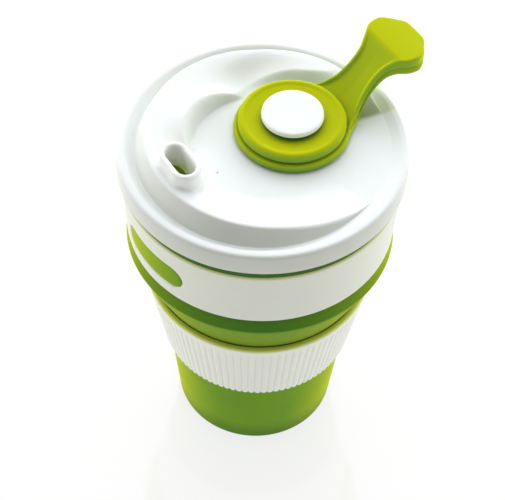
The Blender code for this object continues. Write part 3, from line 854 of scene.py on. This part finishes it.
def lid_columns():
    """For each azimuth, the lid's section from the centre out, down, and back under the deck.

    Returns the columns and the radii of the rows that lie on the deck.
    """
    inner_radii = [1.0 + 19.0 * (step / 20.0) for step in range(20)]
    inner_radii += [20.0 + 16.2 * (step / 54.0) for step in range(55)]
    columns = []
    for facet in range(AROUND):
        azimuth = 360.0 * facet / AROUND
        edge, ledge = edge_radius(azimuth), ledge_height(azimuth)
        column = []
        for radius in inner_radii:
            x, y = place(radius, azimuth)
            column.append((x, y, deck_height(x, y)))
        last = inner_radii[-1]
        edge_z = deck_height(*place(edge, azimuth))
        outline = filleted([
            (last, deck_height(*place(last, azimuth)), 0.0), (edge, edge_z, 1.6),
            (LEDGE_RADIUS, ledge, 0.5),
            (44.1, BEAD + 0.05, 2.4), (46.85, BEAD + 0.05, 1.9), (LID_RADIUS, LID_BOTTOM, 0.45),
            (RIM_RADIUS + GAP + 0.1, LID_BOTTOM, 0.3), (RIM_RADIUS + GAP + 0.1, RIM_TOP + GAP, 0.3),
            (PLUG_OUTER, RIM_TOP + GAP, 0.3), (PLUG_OUTER, PLUG_BOTTOM, 0.5), (PLUG_INNER, PLUG_BOTTOM, 0.5),
            (PLUG_INNER, RIM_TOP + 1.8, 1.0),
            (last, deck_height(*place(last, azimuth)) - DECK_WALL, 0.0)], arc_steps=6, longest=0)
        column.extend((*place(radius, azimuth), height) for radius, height in outline[1:-1])
        for radius in reversed(inner_radii):
            x, y = place(radius, azimuth)
            column.append((x, y, deck_height(x, y) - DECK_WALL))
        columns.append(column)
    return columns, inner_radii


def cut_lid_hole(surface, grid, radii, centre, half, profile, top, span, reaches):
    """Hole through the lid; returns the two rectangles of the grid that it takes up.

    half is the hole's half length and half width.  Each step of the profile on the deck is (offset
    from the hole, rise): the rise is the share of the way up to the top, or millimetres where top
    is None.  span is the hole's range of columns and reaches its range of radii.
    """
    row_low = min(row for row, radius in enumerate(radii) if radius >= reaches[0])
    row_high = max(row for row, radius in enumerate(radii) if radius <= reaches[1] + 1e-6)
    last = len(grid) - 1
    rects = []
    edges = []
    for low, high, drop, steps in ((row_low, row_high, 0.0, profile),
                                   (last - row_high, last - row_low, DECK_WALL, [(0.0, 0.0)])):
        perimeter = perimeter_of(grid, low, high, *span)
        flat = [(surface.points[number][0] - centre[0], surface.points[number][1] - centre[1])
                for number in perimeter]

        def lift(u, v, drop=drop):
            x, y = centre[0] + u, centre[1] + v
            return x, y, deck_height(x, y) - drop

        def profile_point(number, angle, steps=steps, lift=lift):
            offset, rise = steps[number]
            if top and offset > SPOUT_WALL:       # the collar's foot is narrow on its outer side
                squeeze = 0.5 + 0.5 * smooth_step((math.sin(angle) + 0.9) / 0.9)
                offset = SPOUT_WALL + (offset - SPOUT_WALL) * squeeze
            reach = obround_reach(half[0] + offset, half[1] + offset, angle)
            u, v = reach * math.cos(angle), reach * math.sin(angle)
            x, y, z = lift(u, v)
            return (u, v), (x, y, z + ((top - z) * rise if top else rise))

        edges.append(hole_rings(surface, perimeter, flat, profile_point, len(steps), lift,
                                (0.15, 0.35, 0.65)))
        rects.append((low, high, *span))
    outer_edge, inner_edge = (
        sorted(edge, key=lambda number: math.atan2(surface.points[number][1] - centre[1],
                                                   surface.points[number][0] - centre[0]))
        for edge in edges)
    surface.bridge(outer_edge, inner_edge)
    return rects


COLLAR = [(0.0, 0.84), (0.08, 0.92), (0.28, 0.97), (0.6, 0.995), (0.95, 1.0), (1.3, 0.995), (1.6, 0.965),
          (1.8, 0.91), (1.9, 0.82), (1.93, 0.66), (1.96, 0.46), (2.02, 0.28), (2.15, 0.15), (2.4, 0.06),
          (2.8, 0.02), (3.3, 0.0)]
VENT_DIMPLE = [(0.0, -0.2), (0.3, -0.16), (0.6, -0.08), (0.85, -0.02), (1.1, 0.0)]


def make_lid():
    """Lid shell with its bead, deck, spout collar, slot and vent."""
    columns, radii = lid_columns()
    surface = Surface()
    grid = [surface.ring(column[row] for column in columns) for row in range(len(columns[0]))]
    for ring in (grid[0], grid[-1]):
        surface.cap(ring, (0.0, 0.0, surface.points[ring[0]][2]))
    holes = cut_lid_hole(surface, grid, radii, (0.0, -SPOUT_RADIUS), (SLOT_HALF_LENGTH, SLOT_HALF_WIDTH),
                         COLLAR, SPOUT_TOP, (-26, 26), (21.5, radii[-1]))
    holes += cut_lid_hole(surface, grid, radii, place(VENT_RADIUS, VENT_AZIMUTH),
                          (VENT_HOLE, VENT_HOLE - 0.001), VENT_DIMPLE, None, (2, 16), (16.6, 21.2))
    skin_with_holes(surface, grid, holes)
    made = surface.finish("lid", LID_WHITE, sharp=60.0)
    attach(made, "lid")
    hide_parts("lid_shell")


def make_pivot():
    """Button head with its stem, and the washer under the lid."""
    button = turned("button", filleted([
        (0.0, BUTTON_LOW[2], 0.0), (STEM_RADIUS, BUTTON_LOW[2], 0.4), (STEM_RADIUS, BUTTON_BOTTOM, 0.3),
        (BUTTON_RADIUS - 0.5, BUTTON_BOTTOM, 0.3), (BUTTON_RADIUS, BUTTON_BOTTOM + 0.5, 0.3),
        (BUTTON_RADIUS - 0.15, BUTTON_TOP - 0.1, 0.8), (BUTTON_RADIUS - 3.0, BUTTON_TOP, 1.0),
        (0.0, BUTTON_TOP - 0.15, 0.0)], longest=1.0), LID_WHITE, 120, (0.0, PIVOT_Y),
        on_axis=True)
    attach(button, "lid")
    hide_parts("pivot_button")
    low, high = WASHER_LOW[2], WASHER_HIGH[2]
    washer = turned("washer", filleted([
        (STEM_RADIUS + GAP, low, 0.2), (WASHER_HIGH[0], low, 0.5), (WASHER_HIGH[0], high, 0.15),
        (STEM_RADIUS + GAP, high, 0.1)], closed=True, longest=1.0), LID_WHITE, 96,
        (0.0, PIVOT_Y))
    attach(washer, "lid")
    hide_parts("pivot_retainer")


# ---- stopper

# The strap along its middle line: (reach from the pivot, value), in millimetres.
HALF_WIDTH = [(13.0, 13.4), (15.5, 11.8), (18.0, 10.2), (20.3, 8.8), (22.6, 7.7), (26.5, 6.9), (30.6, 7.4),
              (33.6, 9.2), (36.2, 11.2), (38.5, 11.9), (40.5, 11.9), (42.5, 10.8), (45.0, 8.2), (46.6, 6.5),
              (47.2, 5.5), (47.4, 4.8)]
UNDERSIDE = [(13.0, FLANGE_BOTTOM), (18.9, 131.7), (20.6, 132.8), (22.6, 135.0), (26.5, 139.6),
             (30.6, 143.6), (33.6, 145.6), (36.2, 146.1), (40.5, 146.1), (47.4, 146.3)]
TOP = [(13.0, 134.2), (17.0, 135.4), (20.3, 137.8), (22.6, 139.9), (26.5, 144.0), (30.6, 147.9),
       (33.0, 150.1), (34.3, 151.1), (35.4, 151.4), (40.5, 151.6), (47.4, 151.4)]
CHANNEL = [(16.5, 0.3), (19.5, 1.2), (23.0, 1.5), (29.0, 1.4), (32.0, 0.9), (33.8, 0.3), (35.2, 0.0)]
RIM_HEIGHT = 2.0              # of the lower tier


def parked(across, reach, height):
    """Point of the open stopper, from its place across and along the strap's middle line."""
    turn = math.radians(PARKED_TURN)
    return (across * math.cos(turn) - reach * math.sin(turn),
            PIVOT_Y + across * math.sin(turn) + reach * math.cos(turn), height)


def strap_section(half, low, top, channel):
    """Right half of the strap's section, from the middle of the underside to the middle of the top."""
    return filleted([
        (0.0, low, 0.0), (half - 0.3, low, 0.6), (half, low + 1.0, 0.7),
        (half - 0.1, low + RIM_HEIGHT - 0.2, 0.4),
        (half - 0.9, low + RIM_HEIGHT, 0.3), (half - 1.0, low + RIM_HEIGHT + 0.5, 0.3),
        (half - 0.6, low + RIM_HEIGHT + 0.9, 0.3), (half - 0.7, top - 0.8, 0.6), (half - 1.2, top, 0.5),
        (half - 1.9, top, 0.4), (half - 2.6, top - 0.8 * channel, 0.8), (0.0, top - channel, 0.0)],
        arc_steps=4, longest=0)


def add_strap(surface):
    """Loft of the strap and its cap; its root lies inside the hub."""
    stations = 90
    start, end = HALF_WIDTH[0][0], TIP_REACH
    rings = []
    for number in range(stations + 1):
        reach = start + (end - start) * (1.0 - (1.0 - number / stations) ** 1.5)
        half = curve_through(reach, HALF_WIDTH)
        low, top = curve_through(reach, UNDERSIDE), curve_through(reach, TOP)
        section = strap_section(half, low, top, curve_through(reach, CHANNEL))
        ring = section + [(-u, v) for u, v in reversed(section[1:-1])]
        rounding = 1.0 - 0.12 * max(0.0, 1.0 - (end - reach) / 0.5) ** 2
        middle = (low + top) / 2.0
        rings.append(surface.ring(
            parked(u * rounding, reach, middle + (v - middle) * rounding) for u, v in ring))
    surface.skin(rings)
    for ring in (rings[0], rings[-1]):
        surface.cap(ring, np.mean([surface.points[number] for number in ring], axis=0))


def merged(made, voxel, smoothing):
    """Melts an object's overlapping bodies into one skin, and applies the result."""
    remesh = made.modifiers.new("merge", "REMESH")
    remesh.mode = "VOXEL"
    remesh.voxel_size = voxel * MM
    remesh.adaptivity = 0.0
    smooth = made.modifiers.new("soften", "SMOOTH")
    smooth.factor = 0.5
    smooth.iterations = smoothing
    bpy.context.view_layer.update()
    mesh = bpy.data.meshes.new_from_object(made.evaluated_get(bpy.context.evaluated_depsgraph_get()))
    made.modifiers.clear()
    made.data = mesh
    mesh.shade_smooth()


def make_stopper():
    """Hub, strap and cap: one moulding in two tiers, whose lower rim runs round the whole outline."""
    hub_outline = filleted([
        (STEM_RADIUS + GAP, FLANGE_BOTTOM, 0.0), (FLANGE_RADIUS - 0.3, FLANGE_BOTTOM, 0.5),
        (FLANGE_RADIUS, FLANGE_BOTTOM + 1.1, 0.8), (FLANGE_RADIUS - 0.5, FLANGE_TOP, 1.0),
        (DISC_RADIUS - 0.7, FLANGE_TOP - 0.2, 0.25), (DISC_RADIUS - 0.7, FLANGE_TOP + 0.3, 0.2),
        (DISC_RADIUS, FLANGE_TOP + 0.5, 0.35), (DISC_RADIUS - 0.1, DISC_TOP - 0.9, 1.0),
        (16.0, DISC_TOP + 0.15, 1.2), (14.6, DISC_TOP - 0.45, 2.4), (11.0, DISC_TOP - 0.95, 2.0),
        (STEM_RADIUS + GAP, DISC_TOP - 0.95, 0.0)], closed=True, longest=0.8)
    surface = Surface()
    rings = []
    for radius, height in hub_outline:
        points = [place(radius, 1.5 * facet) for facet in range(240)]
        rings.append(surface.ring(parked(x, y, height) for x, y in points))
    surface.skin(rings, closed=True)
    add_strap(surface)
    made = surface.finish("stopper", STOPPER_LIME)
    merged(made, 0.25, 5)
    start, end = (tuple(value * MM for value in parked(0.0, reach, FLEX_HEIGHT))
                  for reach in (FLEX_START, FLEX_END))
    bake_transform(made)
    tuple(start)
    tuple(end)
    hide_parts("stopper_hub", "stopper_strap")


def make_seal_plug():
    """Oval plug under the cap that closes the drinking slot."""
    surface = Surface()
    rings = []
    profile = filleted([
        (0.0, SEAL_PLUG_BOTTOM, 0.0), (1.5, SEAL_PLUG_BOTTOM, 0.5), (1.75, SEAL_PLUG_BOTTOM + 0.9, 0.3),
        (1.45, SEAL_PLUG_BOTTOM + 1.4, 0.3), (1.5, SEAL_PLUG_TOP, 0.0)], longest=0.8)
    for half_width, height in profile[1:]:
        ring = []
        for facet in range(96):
            angle = math.tau * facet / 96
            reach = obround_reach(4.0 + half_width, half_width, angle)
            ring.append(parked(reach * math.cos(angle), SEAL_PLUG_REACH + reach * math.sin(angle), height))
        rings.append(surface.ring(ring))
    surface.skin(rings)
    surface.cap(rings[0], parked(0.0, SEAL_PLUG_REACH, SEAL_PLUG_BOTTOM))
    surface.cap(rings[-1], parked(0.0, SEAL_PLUG_REACH, SEAL_PLUG_TOP))
    made = surface.finish("seal_plug", STOPPER_LIME)
    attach(made, "strap")


def make_window_pad():
    """Raised pad of the silicone wall that fills the band's window almost flush."""
    facets = 128
    inset = 0.36
    angles = [math.tau * facet / facets for facet in range(facets)]
    surface = Surface()
    rings = []
    for offset, depth in ((-0.05, PAD_BACK), (-0.05, 0.55), (-0.14, 0.34), (-inset, PAD_FACE)):
        rings.append(surface.ring(on_band(*around_window(offset, angle), depth) for angle in angles))
    for share in (0.85, 0.65, 0.45, 0.25, 0.08):
        edge = [around_window(-inset, angle) for angle in angles]
        rings.append(surface.ring(on_band(share * u, share * v, PAD_FACE) for u, v in edge))
    surface.skin(rings)
    surface.cap(rings[-1], on_band(0.0, 0.0, PAD_FACE))
    surface.cap(rings[0], on_band(0.0, 0.0, PAD_BACK))
    made = surface.finish("window_pad", CUP_LIME)
    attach(made, "collar")


make_lower_silicone()
make_upper_silicone()
make_sleeve()
make_band()
make_lid()
make_pivot()
make_stopper()
make_seal_plug()
make_window_pad()


# ---- stage, light and camera

def make_floor():
    """Plain pale floor with a faint reflection."""
    made, _, shader, _ = new_material("floor_pale")
    set_values(shader, {
        "Base Color": (0.14, 0.14, 0.14, 1.0), "Roughness": 0.08, "Specular IOR Level": 0.5,
        "Emission Color": (1.0, 1.0, 1.0, 1.0), "Emission Strength": 0.8})
    mesh_data = bmesh.new()
    bmesh.ops.create_grid(mesh_data, x_segments=1, y_segments=1, size=6.0)
    mesh = bpy.data.meshes.new("floor")
    mesh_data.to_mesh(mesh)
    mesh_data.free()
    floor = bpy.data.objects.new("floor", mesh)
    mesh.materials.append(made)
    bpy.context.collection.objects.link(floor)


# Strengths of the surrounding light.
AMBIENT = 0.12
OVERHEAD = 0.06
BACK_LOW = 2.2
BACK_HIGH = 3.5
SIDES = 1.55

# Camera; angles in radians.
VIEW_ELEVATION = 0.841484
VIEW_DISTANCE = 0.48402
VIEW_TARGET = (0.0, 0.0, 0.124)
SENSOR = 36.0
FOCAL_SHARE = 1500.0 / 505.0  # focal length over the picture's width
PAN = 0.0043646               # the cup's axis sits a little off the picture's centre
TILT = 0.0609192
ROLL = 0.035133


def make_camera():
    """Camera at the front right, high up, with a long lens."""
    azimuth, elevation = math.radians(VIEW_AZIMUTH), VIEW_ELEVATION
    back = Vector((math.sin(azimuth) * math.cos(elevation), -math.cos(azimuth) * math.cos(elevation),
                   math.sin(elevation)))
    right = Vector((math.cos(azimuth), math.sin(azimuth), 0.0))
    up = back.cross(right)
    ahead = -back
    cr, sr = math.cos(ROLL), math.sin(ROLL)
    ca, sa = math.cos(PAN), math.sin(PAN)
    cb, sb = math.cos(TILT), math.sin(TILT)
    view = -cb * sa * right - sb * up + cb * ca * ahead
    across = (cr * ca - sr * sb * sa) * right + sr * cb * up + (cr * sa + sr * sb * ca) * ahead
    upright = (-sr * ca - cr * sb * sa) * right + cr * cb * up + (-sr * sa + cr * sb * ca) * ahead
    data = bpy.data.cameras.new("camera")
    data.sensor_fit = "HORIZONTAL"
    data.sensor_width = SENSOR
    data.lens = SENSOR * FOCAL_SHARE
    data.clip_start, data.clip_end = 0.01, 50.0
    camera = bpy.data.objects.new("camera", data)
    rotation = Matrix((across, upright, -view)).transposed()
    camera.matrix_world = Matrix.Translation(Vector(VIEW_TARGET) + back * VIEW_DISTANCE) @ rotation.to_4x4()
    bpy.context.collection.objects.link(camera)
    bpy.context.scene.camera = camera


def make_world():
    """Soft surrounding light: bright high at the back, softer at the sides, dim overhead and in front."""
    world = bpy.data.worlds.new("studio")
    bpy.context.scene.world = world
    world.use_nodes = True
    tree = world.node_tree
    background = tree.nodes["Background"]
    coordinates = tree.nodes.new("ShaderNodeTexCoord").outputs["Generated"]
    azimuth = math.radians(VIEW_AZIMUTH)
    front = dotted(tree, coordinates, (0.95 * FRONT[0], 0.95 * FRONT[1], 0.15))
    sideways = dotted(tree, coordinates, (math.cos(azimuth), math.sin(azimuth), 0.0))
    upward = dotted(tree, coordinates, (0.0, 0.0, 1.0))
    back = times(tree, raised_to(tree, ramp(tree, front, -0.96, 0.96, 1.0, 0.0), 2.0),
                 ramp(tree, upward, 0.0, 0.55, BACK_LOW, BACK_HIGH))
    sides = times(tree, raised_to(tree, sideways, 2.0), ramp(tree, upward, 0.0, 0.6, SIDES, 0.0))
    overhead = ramp(tree, upward, 0.2, 1.0, AMBIENT, AMBIENT + OVERHEAD)
    background.inputs["Color"].default_value = (1.0, 1.0, 1.0, 1.0)
    tree.links.new(added(tree, added(tree, back, sides), overhead), background.inputs["Strength"])


make_floor()
make_world()
make_camera()
bpy.context.scene.view_settings.view_transform = "Standard"
